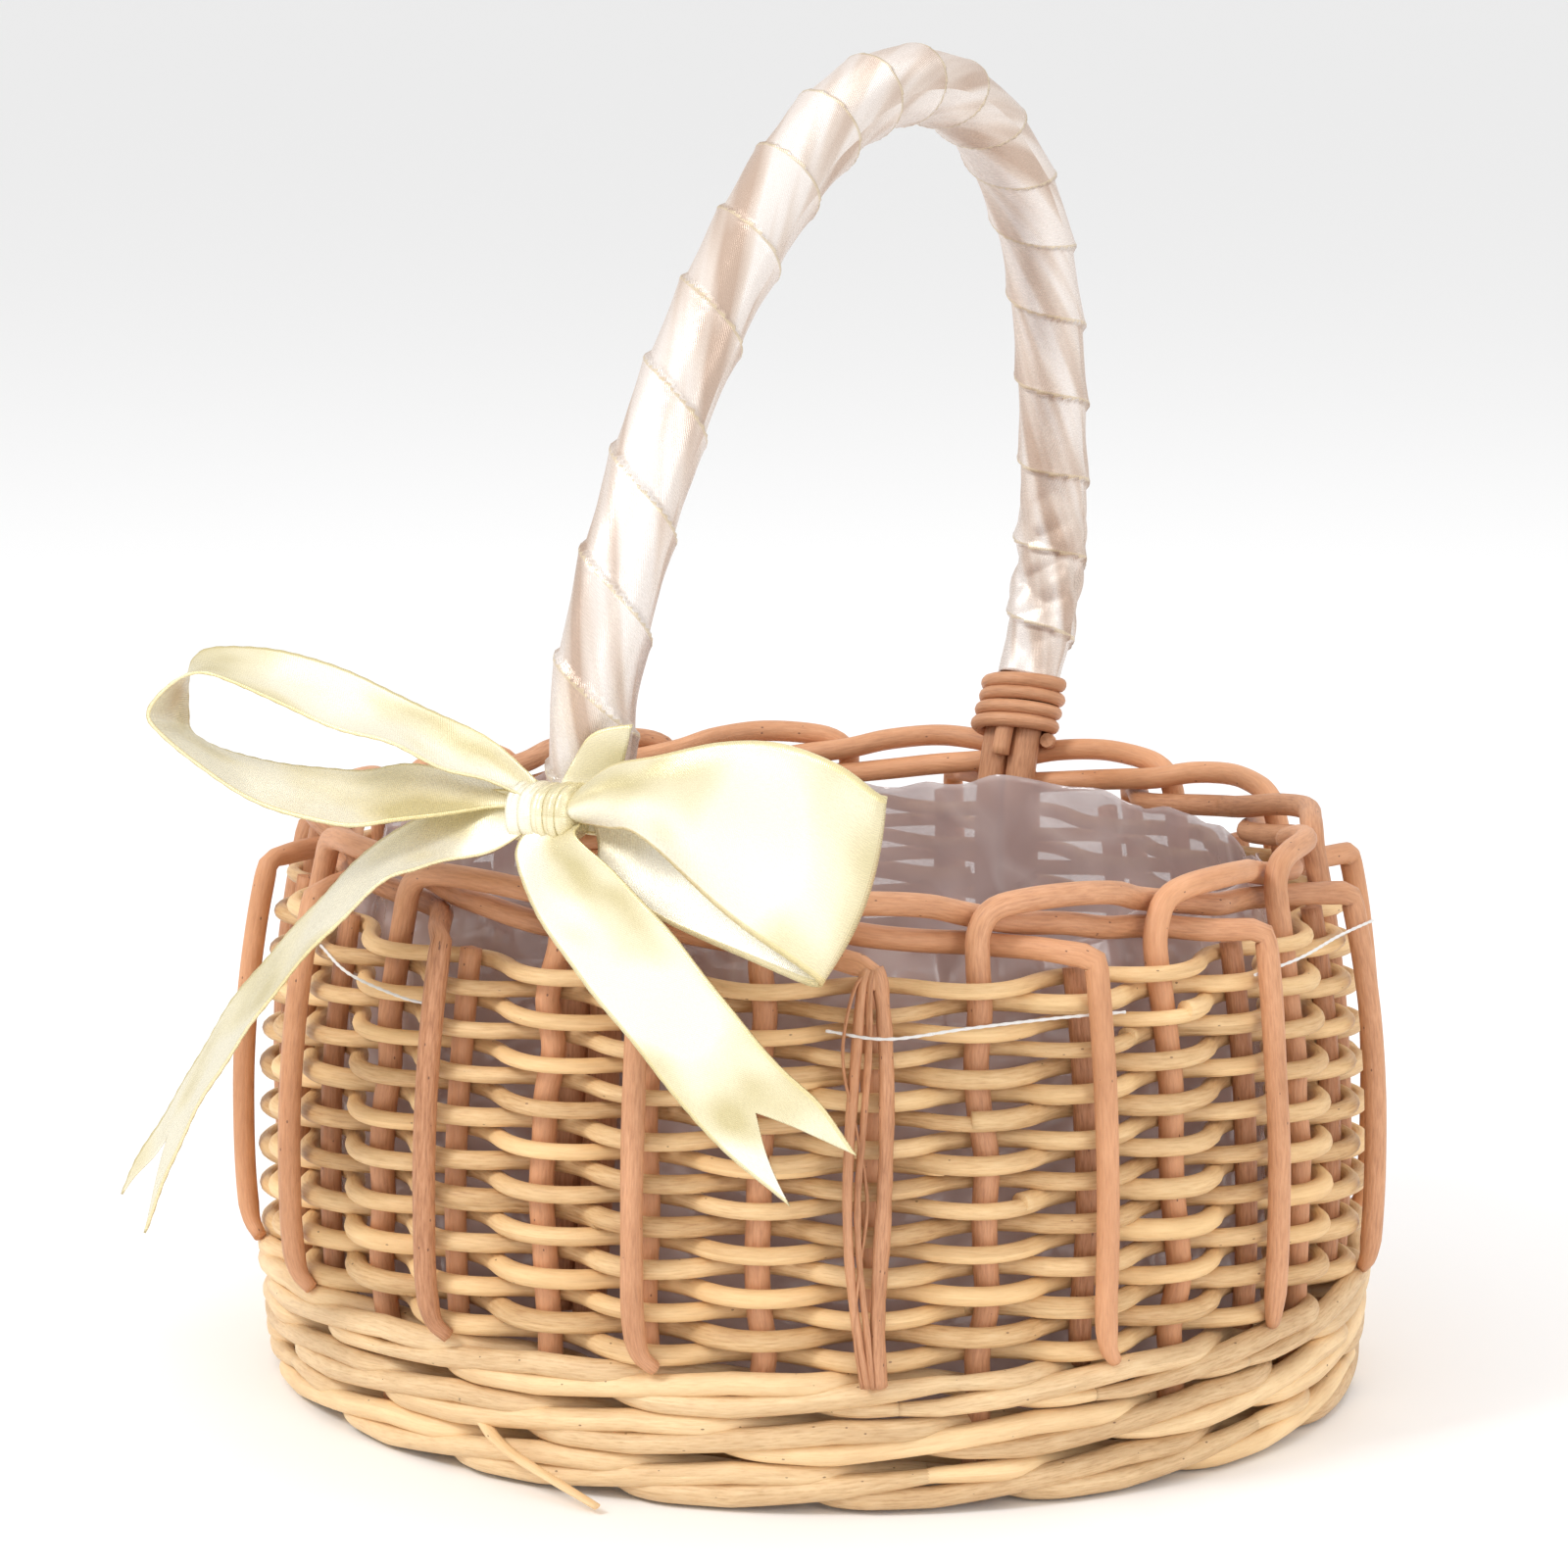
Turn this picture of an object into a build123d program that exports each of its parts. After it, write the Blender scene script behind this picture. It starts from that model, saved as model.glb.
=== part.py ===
from build123d import *
import math
import os

# Flower girl basket: a woven willow bowl with a satin-wrapped hoop handle, a satin bow and a film liner.
# Millimetres, +Z up. The origin is the centre of the base's underside, and the handle's plane is YZ.
# The bowed foot of the handle stands at -Y. A "place" counts 0 to 32 round the wall from there, towards +X.

# Wall: middle surface of the weave, an ellipse that bulges along a circular arc
half_width = 106.0
half_depth = 99.0
bulge_height = 45.0
bulge_radius = 300.0
places = 32
clearance = 0.2

# Weaving: how round a rod bends at each stake, and how far its corner stands out to leave the bend clear
side_bend = 7.0
side_swing_out = 1.45
side_swing_in = 0.7
foot_bend = 14.0
foot_swing_out = 2.0
foot_swing_in = 0.3
side_step = 1
foot_step = 2
end_gap = 0.1
side_join_shift = 5
foot_join_shift = 10

# Willow rods
stake_radius = 2.1
weaver_radius = 1.72
foot_rod_radius = 2.4
side_rows = 18
first_side_row = 28.2
side_row_pitch = 3.95
foot_rows = 5
first_foot_row = 3.4
foot_row_pitch = 5.0

# Stakes and border
stake_foot = 2.0
stake_top = 100.0
border_top = 109.8
border_middle = 104.4
border_low = 102.0
inner_lane = 5.2
outer_lane = 8.4
outer_rod_top = 97.5
outer_rod_foot = 27.6
kink_height = 101.6
outer_rod_places = 5
stake_bends = [5, 14, 12, 12, 7, 3]
by_stake_foot = 26.2
by_stake_top = 97.0

# Base
base_gap = 11.0
base_thickness = 8.0
base_stick_radius = 2.4
cross_stick_radius = 1.5
base_stick_spacing = 7.0
base_stick_margin = 3.0
base_bore_reach = 20.0
base_bore_clearance = 0.1
base_ridges = 8
first_ridge_share = 0.16
ridge_share = 0.8
groove_width = 1.2
groove_depth = 0.6

# Handle
hoop_rod_radius = 3.1
hoop_rod_shift = 3.25
packing_rod_radius = 1.9
packing_rod_shift = 4.2
wrap_inner_radius = 6.8
wrap_outer_radius = 7.9
wrap_start_share = 0.05
wrap_end_share = 0.15
binding_rod_radius = 1.4
binding_turns = 4
binding_height = 12.0
binding_start = 0.42

# Satin bow and film liner
ribbon_width = 20.0
ribbon_thickness = 1.0
left_loop_turn = 0.22
right_loop_turn = -0.2
right_loop_drop = 2.0
right_loop_depth = 12.0
tail_forward = 14.0
knot_width = 15.0
knot_height = 13.0
knot_depth = 14.0
knot_rounding = 4.0
knot_back = 6.0
knot_edge = 1.2
knot = Vector(4, -99.5, 127)
liner_gap = 22.4
liner_taper = 4.6
liner_floor = 8.4
liner_top = 104.0
liner_film = 0.8
thread_radius = 0.4
thread_height = 88.0
thread_starts = (3.3, 5.3, 29.3)
thread_places = 1.4
thread_rise = 2.8
thread_clearance = 1.2
thread_bend = 20.0

os.makedirs("parts", exist_ok=True)


def bulge(height):
    """How far the wall's middle surface stands outside the reference ellipse, at a height."""
    return math.sqrt(bulge_radius**2 - (height - bulge_height) ** 2) - bulge_radius


def bulge_slope(height):
    """How fast the bulge grows with height."""
    return -(height - bulge_height) / math.sqrt(bulge_radius**2 - (height - bulge_height) ** 2)


def wall_point(place, outward, height):
    """The point at a place round the wall, moved outwards from the reference ellipse."""
    angle = math.radians(360 / places * place)
    normal = Vector(math.sin(angle) / half_width, -math.cos(angle) / half_depth, 0).normalized()
    on_ellipse = Vector(half_width * math.sin(angle), -half_depth * math.cos(angle), height)
    return on_ellipse + normal * outward


def upright_arc(place, outward, low, high):
    """Three points of a rod that follows the bulge of the wall."""
    heights = [low, (low + high) / 2, high]
    return [wall_point(place, bulge(h) + outward, h) for h in heights]


def save(part, name):
    """Label a finished piece and write it as its own STEP file."""
    part.label = name
    export_step(part, f"parts/{name}.step")


def woven_row(height, step, start, lane_out, lane_in):
    """The route of one weaver: past each stake in turn, inside one and outside the next."""
    crossings = places // step
    corners = []
    for count in range(crossings + 1):
        place = start + count * step
        if count == 0:
            place += end_gap
        if count == crossings:
            place -= end_gap
        lane = -lane_in if count % 2 == 0 else lane_out
        corners.append(wall_point(place, bulge(height) + lane, height))
    return corners


# Side weavers: rods that pass outside one upright and inside the next
side_lane = stake_radius + weaver_radius + clearance
for row in range(side_rows):
    row_height = first_side_row + row * side_row_pitch
    row_start = side_join_shift * row % places
    row_lanes = (side_lane + side_swing_out, side_lane + side_swing_in)
    with BuildPart() as side_weaver:
        with BuildLine() as side_route:
            FilletPolyline(*woven_row(row_height, side_step, row_start, *row_lanes), radius=side_bend)
        with BuildSketch(Plane(origin=side_route.line @ 0, z_dir=side_route.line % 0)):
            Circle(weaver_radius)
        sweep()
    save(side_weaver.part, f"side_weaver_{row + 1:02d}")

# Foot wale: thicker rods round the bottom, woven past the main stakes only
foot_lane = stake_radius + foot_rod_radius + clearance
for row in range(foot_rows):
    row_height = first_foot_row + row * foot_row_pitch
    row_start = foot_join_shift * row % places
    row_lanes = (foot_lane + foot_swing_out, foot_lane + foot_swing_in)
    with BuildPart() as foot_weaver:
        with BuildLine() as foot_route:
            FilletPolyline(*woven_row(row_height, foot_step, row_start, *row_lanes), radius=foot_bend)
        with BuildSketch(Plane(origin=foot_route.line @ 0, z_dir=foot_route.line % 0)):
            Circle(foot_rod_radius)
        sweep()
    save(foot_weaver.part, f"foot_weaver_{row + 1}")

# Main stakes: up through the weave, along the border and down again outside the wall
rim = bulge(border_middle)
for stake in range(places // 2):
    place = 2 * stake
    lean = bulge_slope(stake_top)
    bend = wall_point(place, bulge(stake_top) + lean * (border_top - stake_top), border_top)
    border = [
        bend,
        wall_point(place + 1, rim - 0.6, border_top + 0.2),
        wall_point(place + 2, rim - inner_lane - 0.4, (border_top + border_middle) / 2),
        wall_point(place + 3, rim - 3.2, border_middle),
        wall_point(place + 4, rim - inner_lane - 1.4, border_low),
    ]
    drop = bulge_slope(outer_rod_top) * (kink_height - outer_rod_top)
    outer_place = place + outer_rod_places
    kink = wall_point(outer_place, bulge(outer_rod_top) + outer_lane + drop, kink_height)
    outside = upright_arc(outer_place, outer_lane, outer_rod_top, outer_rod_foot)
    with BuildPart() as main_stake:
        with BuildLine() as stake_route:
            inside = upright_arc(place, 0, stake_foot, stake_top)
            ThreePointArc(*inside)
            FilletPolyline(inside[-1], *border, kink, outside[0], radius=stake_bends)
            ThreePointArc(*outside)
        with BuildSketch(Plane(origin=stake_route.line @ 0, z_dir=stake_route.line % 0)):
            Circle(stake_radius)
        sweep()
    save(main_stake.part, f"main_stake_{stake + 1:02d}")

# By-stakes: short rods between the main stakes, hidden behind the outer rods
with BuildPart() as by_stakes:
    for place in range(1, places, 2):
        by_points = upright_arc(place, 0, by_stake_foot, by_stake_top)
        with BuildLine() as by_route:
            ThreePointArc(*by_points)
        with BuildSketch(Plane(origin=by_route.line @ 0, z_dir=by_route.line % 0)):
            Circle(stake_radius)
        sweep(mode=Mode.ADD)
save(by_stakes.part, "by_stakes")

# Base sticks: long sticks along X, bored for the cross sticks that pass through them
base_reach_x = half_width - base_gap - base_stick_margin
base_reach_y = half_depth - base_gap - base_stick_margin
stick_places = [-base_stick_spacing, 0, base_stick_spacing]
with BuildPart() as base_long_sticks:
    for shift in stick_places:
        with BuildSketch(Plane(origin=(-base_reach_x, shift, base_thickness / 2), z_dir=(1, 0, 0))):
            Circle(base_stick_radius)
        extrude(amount=2 * base_reach_x)
    for shift in stick_places:
        with BuildSketch(Plane(origin=(shift, -base_bore_reach, base_thickness / 2), z_dir=(0, 1, 0))):
            Circle(cross_stick_radius + base_bore_clearance)
        extrude(amount=2 * base_bore_reach, mode=Mode.SUBTRACT)
save(base_long_sticks.part, "base_long_sticks")

with BuildPart() as base_cross_sticks:
    for shift in stick_places:
        with BuildSketch(Plane(origin=(shift, -base_reach_y, base_thickness / 2), z_dir=(0, 1, 0))):
            Circle(cross_stick_radius)
        extrude(amount=2 * base_reach_y)
save(base_cross_sticks.part, "base_cross_sticks")

# Base weave: the oval mat, ridged like its rows of weavers, with a channel for each stick
with BuildPart() as base_weave:
    with BuildSketch():
        Ellipse(half_width - base_gap, half_depth - base_gap)
    extrude(amount=base_thickness)
    for ridge in range(1, base_ridges + 1):
        share = first_ridge_share + ridge_share * ridge / base_ridges
        ridge_x = (half_width - base_gap) * share
        ridge_y = (half_depth - base_gap) * share
        for level, direction in ((0, 1), (base_thickness, -1)):
            with BuildSketch(Plane.XY.offset(level)):
                Ellipse(ridge_x, ridge_y)
                Ellipse(ridge_x - groove_width, ridge_y - groove_width, mode=Mode.SUBTRACT)
            extrude(amount=direction * groove_depth, mode=Mode.SUBTRACT)
    for shift in stick_places:
        with BuildSketch(Plane(origin=(-half_width, shift, base_thickness / 2), z_dir=(1, 0, 0))):
            Rectangle(2 * base_stick_radius + clearance, 2 * base_stick_radius + clearance)
        extrude(amount=2 * half_width, mode=Mode.SUBTRACT)
        with BuildSketch(Plane(origin=(shift, -half_depth, base_thickness / 2), z_dir=(0, 1, 0))):
            Rectangle(2 * cross_stick_radius + clearance, 2 * cross_stick_radius + clearance)
        extrude(amount=2 * half_depth, mode=Mode.SUBTRACT)
save(base_weave.part, "base_weave")

# Handle route: up inside the wall, over the rim, round the hoop and down inside the far wall
hoop_points = [
    (0, -89.3, 31),
    (0, -80.0, 103),
    (1, -84.0, 128),
    (4, -86.5, 154),
    (8.5, -62.0, 207),
    (12, -13.0, 251),
    (12, 38.0, 253),
    (9.5, 80.0, 222),
    (5, 97.0, 166),
    (3, 95.0, 134),
    (0, 79.2, 103),
    (0, 89.3, 31),
]
hoop_radii = [60, 60, 90, 130, 62, 44, 52, 110, 60, 30]
with BuildPart() as hoop_rods:
    with BuildLine() as hoop_route:
        FilletPolyline(*hoop_points, radius=hoop_radii)
    foot_plane = Plane(origin=hoop_route.line @ 0, x_dir=(1, 0, 0), z_dir=hoop_route.line % 0)
    with BuildSketch(foot_plane):
        with Locations((hoop_rod_shift, 0), (-hoop_rod_shift, 0)):
            Circle(hoop_rod_radius)
    sweep(path=hoop_route.line)
left_rod, right_rod = hoop_rods.part.solids().sort_by(Axis.X)
save(Part(left_rod.wrapped), "hoop_rod_left")
save(Part(right_rod.wrapped), "hoop_rod_right")


def between(start, end, share):
    """A point part of the way along a straight run."""
    return Vector(*start) + (Vector(*end) - Vector(*start)) * share


# Satin wrap: the ribbon wound round the hoop, from binding to binding
wrap_start = between(hoop_points[2], hoop_points[3], wrap_start_share)
wrap_end = between(hoop_points[9], hoop_points[8], wrap_end_share)
wrap_points = [wrap_start, *hoop_points[3:9], wrap_end]
wrap_radii = hoop_radii[2:8]
with BuildPart() as satin_wrap:
    with BuildLine() as wrap_route:
        FilletPolyline(*wrap_points, radius=wrap_radii)
    with BuildSketch(Plane(origin=wrap_route.line @ 0, x_dir=(1, 0, 0), z_dir=wrap_route.line % 0)):
        Circle(wrap_outer_radius)
        Circle(wrap_inner_radius, mode=Mode.SUBTRACT)
    sweep(path=wrap_route.line)
save(satin_wrap.part, "satin_wrap")

# Packing rods: two thin rods that fill the hoop out to a round section inside the wrap
with BuildPart() as packing_rods:
    with BuildLine() as packing_route:
        FilletPolyline(*wrap_points, radius=wrap_radii)
    with BuildSketch(Plane(origin=packing_route.line @ 0, x_dir=(1, 0, 0), z_dir=packing_route.line % 0)):
        with Locations((0, packing_rod_shift), (0, -packing_rod_shift)):
            Circle(packing_rod_radius)
    sweep(path=packing_route.line)
save(packing_rods.part, "packing_rods")

# Bindings: thin willow wound round the hoop rods just above the rim
binding_radius = hoop_rod_shift + hoop_rod_radius + binding_rod_radius + clearance
for binding_name, low, high in (("binding_near", 1, 2), ("binding_far", 10, 9)):
    axis = Vector(*hoop_points[high]) - Vector(*hoop_points[low])
    base = between(hoop_points[low], hoop_points[high], binding_start)
    with BuildPart() as binding:
        with BuildLine() as binding_route:
            Helix(binding_height / binding_turns, binding_height, binding_radius, center=base, direction=axis)
        with BuildSketch(Plane(origin=binding_route.line @ 0, z_dir=binding_route.line % 0)):
            Circle(binding_rod_radius)
        sweep(path=binding_route.line, is_frenet=True)
    save(binding.part, binding_name)

# Bow: ribbon strips that leave the knot in front of the handle's near foot.
# Each loop is a closed strip of ribbon, and its profile stands in a vertical plane.
loop_origin = knot + Vector(0, -1, 0)
left_plane = Plane(origin=loop_origin, x_dir=(1, left_loop_turn, 0), z_dir=(left_loop_turn, -1, 0))
right_plane = Plane(origin=loop_origin, x_dir=(1, right_loop_turn, 0), z_dir=(right_loop_turn, -1, 0))
tail_plane = Plane(origin=knot + Vector(0, -tail_forward, 0), x_dir=(1, 0, 0), z_dir=(0, -1, 0))

left_loop_corners = [(-9, 2), (-34, 17), (-64, 24), (-77, 14), (-62, 2), (-34, -7), (-11, -3)]
right_loop_corners = [(9, 4), (36, 16), (64, 15), (69, -8), (60, -23), (34, -11), (11, -4)]
left_loop_rounding = [2, 40, 9, 3.5, 20, 30, 2]
right_loop_rounding = [2, 30, 7, 8, 5, 40, 2]
loops = (
    ("bow_left_loop", left_plane, -ribbon_width / 2, left_loop_corners, left_loop_rounding, ribbon_width),
    ("bow_right_loop", right_plane, -right_loop_drop, right_loop_corners, right_loop_rounding, right_loop_depth),
)
for loop_name, loop_plane, back, corners, rounding, depth in loops:
    with BuildPart() as loop:
        with BuildSketch(loop_plane.offset(back)):
            with BuildLine():
                FilletPolyline(*corners, radius=rounding, close=True)
            make_face()
            offset(amount=-ribbon_thickness, mode=Mode.SUBTRACT)
        extrude(amount=depth)
    save(loop.part, loop_name)

left_tail_outline = [(-3, -7), (-22, -12), (-48, -40), (-80, -82), (-70, -87), (-66, -80), (-36, -48), (-16, -22)]
right_tail_outline = [(0, -9), (8, -9), (36, -36), (66, -66), (62, -80), (54, -70), (22, -42), (6, -22)]
for tail_name, outline in (("bow_left_tail", left_tail_outline), ("bow_right_tail", right_tail_outline)):
    with BuildPart() as tail:
        with BuildSketch(tail_plane):
            with BuildLine():
                Polyline(*outline, close=True)
            make_face()
        extrude(amount=ribbon_thickness)
    save(tail.part, tail_name)

with BuildPart() as bow_knot:
    with BuildSketch(Plane(origin=knot + Vector(0, knot_back, 0), z_dir=(0, -1, 0))):
        RectangleRounded(knot_width, knot_height, knot_rounding)
    extrude(amount=knot_depth)
    fillet(bow_knot.edges().filter_by(GeomType.LINE, reverse=True), radius=knot_edge)
save(bow_knot.part, "bow_knot")

# Liner: a thin film cup that stands inside the wall, up to just below the rim
with BuildPart() as liner:
    with BuildSketch(Plane.XY.offset(liner_floor)):
        Ellipse(half_width - liner_gap + liner_taper, half_depth - liner_gap + liner_taper)
    with BuildSketch(Plane.XY.offset(liner_top)):
        Ellipse(half_width - liner_gap, half_depth - liner_gap)
    loft()
    with BuildSketch(Plane.XY.offset(liner_floor + liner_film)):
        Ellipse(half_width - liner_gap + liner_taper - liner_film, half_depth - liner_gap + liner_taper - liner_film)
    with BuildSketch(Plane.XY.offset(liner_top)):
        Ellipse(half_width - liner_gap - liner_film, half_depth - liner_gap - liner_film)
    loft(mode=Mode.SUBTRACT)
save(liner.part, "liner")

# Thread: the stitch that holds the liner, lying on the weave between two outer rods
thread_lane = side_lane + weaver_radius + thread_radius + thread_clearance
with BuildPart() as liner_thread:
    for start in thread_starts:
        thread_points = [
            wall_point(
                start + share * thread_places,
                bulge(thread_height) + thread_lane,
                thread_height + share * thread_rise,
            )
            for share in (0, 0.5, 1)
        ]
        with BuildLine() as thread_route:
            FilletPolyline(*thread_points, radius=thread_bend)
        with BuildSketch(Plane(origin=thread_route.line @ 0, z_dir=thread_route.line % 0)):
            Circle(thread_radius)
        sweep(path=thread_route.line)
save(liner_thread.part, "liner_thread")
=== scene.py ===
import math

import bpy
import numpy as np
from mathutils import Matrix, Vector


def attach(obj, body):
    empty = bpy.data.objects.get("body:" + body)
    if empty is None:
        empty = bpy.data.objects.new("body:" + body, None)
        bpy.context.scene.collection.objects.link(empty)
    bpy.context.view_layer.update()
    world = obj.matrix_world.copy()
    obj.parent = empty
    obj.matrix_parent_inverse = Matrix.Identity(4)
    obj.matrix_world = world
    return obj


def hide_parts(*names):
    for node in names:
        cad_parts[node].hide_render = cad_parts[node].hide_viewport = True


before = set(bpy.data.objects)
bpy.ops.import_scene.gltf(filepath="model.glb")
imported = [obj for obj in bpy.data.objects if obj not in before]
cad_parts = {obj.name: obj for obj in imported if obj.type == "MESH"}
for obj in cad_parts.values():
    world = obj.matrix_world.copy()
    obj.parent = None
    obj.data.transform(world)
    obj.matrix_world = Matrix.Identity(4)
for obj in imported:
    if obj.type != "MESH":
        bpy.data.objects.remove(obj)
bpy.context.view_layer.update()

# A flower girl basket. Lengths in this script are millimetres until a mesh is made, in metres.
MM = 0.001

# The wall: the CAD model's ellipse and bulge, with 32 places round it from the handle's near foot
HALF_WIDTH, HALF_DEPTH = 106.0, 99.0
BULGE_HEIGHT, BULGE_RADIUS = 45.0, 300.0
PLACES = 32
SIDE_ROWS, FIRST_SIDE_ROW, SIDE_ROW_PITCH = 18, 28.2, 3.95
BORDER_HEIGHT = 104.4

# Lanes: how far a rod's middle passes from the stakes' middle, outside the wall or inside it
SIDE_LANE = 4.0
FOOT_LANE = 4.9
OUTER_LANE = 8.4

BY_STAKE_RADIUS = 2.1
SPLIT_STAKE = 15  # the stake whose outer rod has cracked
UP = np.array([0.0, 0.0, 1.0])
UV_PER_MM = 0.1  # a texture coordinate of 1 is 10 mm


# ---------------------------------------------------------------- shapes in numpy


def bulge(height):
    """How far the wall stands outside the reference ellipse, at a height."""
    return np.sqrt(BULGE_RADIUS**2 - (np.asarray(height) - BULGE_HEIGHT) ** 2) - BULGE_RADIUS


def wall_points(place, outward, height):
    """Points at places 0 to 32 round the wall, moved outwards from the reference ellipse."""
    angle = np.asarray(place, float) * 2 * np.pi / PLACES
    outward, height = np.broadcast_arrays(np.asarray(outward, float), np.asarray(height, float))
    normal = np.stack([np.sin(angle) / HALF_WIDTH, -np.cos(angle) / HALF_DEPTH], -1)
    normal /= np.linalg.norm(normal, axis=-1, keepdims=True)
    flat = np.stack([HALF_WIDTH * np.sin(angle), -HALF_DEPTH * np.cos(angle)], -1)
    flat = flat + normal * outward[..., None]
    return np.concatenate([flat, np.broadcast_to(height, angle.shape)[..., None]], -1)


def wander(rng, along, waves, size):
    """A smooth random curve over along, 0 to 1, made of a few sine waves."""
    total = np.zeros_like(along)
    for wave in range(1, waves + 1):
        height, shift = rng.normal(), rng.uniform(0, 2 * np.pi)
        total += height * np.sin(2 * np.pi * wave * along + shift) / math.sqrt(wave)
    return size * total / math.sqrt(waves)


def resampled(line, step):
    """The line with points a step apart."""
    line = np.asarray(line, float)
    gaps = np.linalg.norm(np.diff(line, axis=0), axis=1)
    far = np.concatenate([[0], np.cumsum(gaps)])
    places = np.linspace(0, far[-1], max(3, int(round(far[-1] / step)) + 1))
    return np.stack([np.interp(places, far, line[:, axis]) for axis in range(line.shape[1])], 1)


def through(points, step):
    """A smooth line through the points (Catmull-Rom), with points a step apart."""
    points = np.asarray(points, float)
    points = np.vstack([2 * points[0] - points[1], points, 2 * points[-1] - points[-2]])
    line = []
    for a, b, c, d in zip(points, points[1:], points[2:], points[3:]):
        t = np.linspace(0, 1, 17)[:-1, None]
        square, cube = 2 * a - 5 * b + 4 * c - d, 3 * b - a - 3 * c + d
        line.append(0.5 * (2 * b + (c - a) * t + square * t**2 + cube * t**3))
    return resampled(np.vstack(line + [points[-2][None]]), step)


def cut_corners(points, rounds, step):
    """A smooth line that cuts inside the points (a quadratic spline), with points a step apart."""
    points = np.asarray(points, float)
    for _ in range(rounds):
        first, last = points[:1], points[-1:]
        inner = np.empty((2 * (len(points) - 1), points.shape[1]))
        inner[0::2] = 0.75 * points[:-1] + 0.25 * points[1:]
        inner[1::2] = 0.25 * points[:-1] + 0.75 * points[1:]
        points = np.vstack([first, inner[1:-1], last])
    return resampled(points, step)


def unit(vectors):
    return vectors / np.maximum(np.linalg.norm(vectors, axis=-1, keepdims=True), 1e-12)


def carried_frames(line, start=UP):
    """Tangent and two side directions at each point of a line, with no twist along it."""
    tangents = unit(np.gradient(line, axis=0))
    side = np.cross(tangents[0], start)
    if np.linalg.norm(side) < 0.1:
        side = np.cross(tangents[0], [1.0, 0.0, 0.0])
    side = unit(side)
    sides = []
    for tangent in tangents:
        side = unit(side - tangent * (side @ tangent))
        sides.append(side)
    sides = np.array(sides)
    return tangents, sides, np.cross(tangents, sides)


# ---------------------------------------------------------------- meshes


def cell_corners(grid):
    """The four corners of every cell of a grid, in order round the cell."""
    return [grid[:-1, :-1], grid[:-1, 1:], grid[1:, 1:], grid[1:, :-1]]


class Pile:
    """Vertices, faces, texture coordinates and tints that are gathered into one mesh."""

    def __init__(self):
        self.points, self.faces, self.coords, self.tints, self.count = [], [], [], [], 0

    def grid(self, points, coords, tint, closed):
        """Adds a rows by columns sheet of points; closed joins the last column to the first."""
        rows, columns = points.shape[:2]
        index = np.arange(rows * columns).reshape(rows, columns) + self.count
        if closed:
            index = np.concatenate([index, index[:, :1]], 1)
        self.points.append(points.reshape(-1, 3))
        self.faces.append(np.stack(cell_corners(index), -1).reshape(-1, 4))
        self.coords.append(np.stack(cell_corners(coords), -2).reshape(-1, 2))
        self.tints.append(np.full(rows * columns, tint))
        self.count += rows * columns

    def tube(self, line, radius, tint, sides=12, flat=None):
        """Adds a rod along a line, closed by domed ends. flat squeezes one side direction."""
        tangents, side, other = carried_frames(line)
        radius = np.broadcast_to(radius, len(line))[:, None, None]
        around = np.linspace(0, 2 * np.pi, sides, endpoint=False)
        squeeze = 1.0 if flat is None else np.broadcast_to(flat, len(line))[:, None, None]
        ring = side[:, None] * np.cos(around)[None, :, None]
        ring = ring + other[:, None] * np.sin(around)[None, :, None] * squeeze
        body = line[:, None] + radius * ring
        # Rings of a domed end: how deep each lies from the dome's top, and its size, in radii
        top = 0.2
        dome = [(0.0, 0.02), (0.12, 0.55), (top, 0.9)]

        def end_rings(end, way):
            thick = radius[end, 0, 0]
            out = way * tangents[end]
            return [line[end] + out * (top - deep) * thick + thick * wide * ring[end] for deep, wide in dome]

        points = np.concatenate([end_rings(0, -1), body, end_rings(-1, 1)[::-1]])
        far = np.concatenate([[0], np.cumsum(np.linalg.norm(np.diff(line, axis=0), axis=1))])
        far = np.concatenate([[-0.3, -0.2, -0.1], far, far[-1] + np.array([0.1, 0.2, 0.3])])
        v = np.linspace(0, 1, sides + 1) * 2 * np.pi * float(np.mean(radius))
        coords = np.stack(np.meshgrid(far, v, indexing="ij"), -1) * UV_PER_MM
        coords = coords + np.array([37.0 * tint, 11.0 * tint])  # so that no two rods share their grain
        self.grid(points, coords, tint, True)

    def finish(self, name, material):
        """Makes the mesh object, in metres, and rides it on the basket."""
        points = np.concatenate(self.points) * MM
        faces = np.concatenate(self.faces)
        mesh = bpy.data.meshes.new(name)
        mesh.vertices.add(len(points))
        mesh.vertices.foreach_set("co", points.ravel())
        mesh.loops.add(faces.size)
        mesh.loops.foreach_set("vertex_index", faces.ravel())
        mesh.polygons.add(len(faces))
        mesh.polygons.foreach_set("loop_start", np.arange(0, faces.size, 4))
        mesh.polygons.foreach_set("use_smooth", np.full(len(faces), True))
        layer = mesh.uv_layers.new(name="along")
        layer.data.foreach_set("uv", np.concatenate(self.coords).ravel())
        tint = mesh.attributes.new("tint", "FLOAT", "POINT")
        tint.data.foreach_set("value", np.concatenate(self.tints))
        mesh.update()
        mesh.validate()
        mesh.materials.append(material)
        piece = bpy.data.objects.new(name, mesh)
        bpy.context.scene.collection.objects.link(piece)
        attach(piece, "root")
        return piece


# ---------------------------------------------------------------- materials


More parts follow.
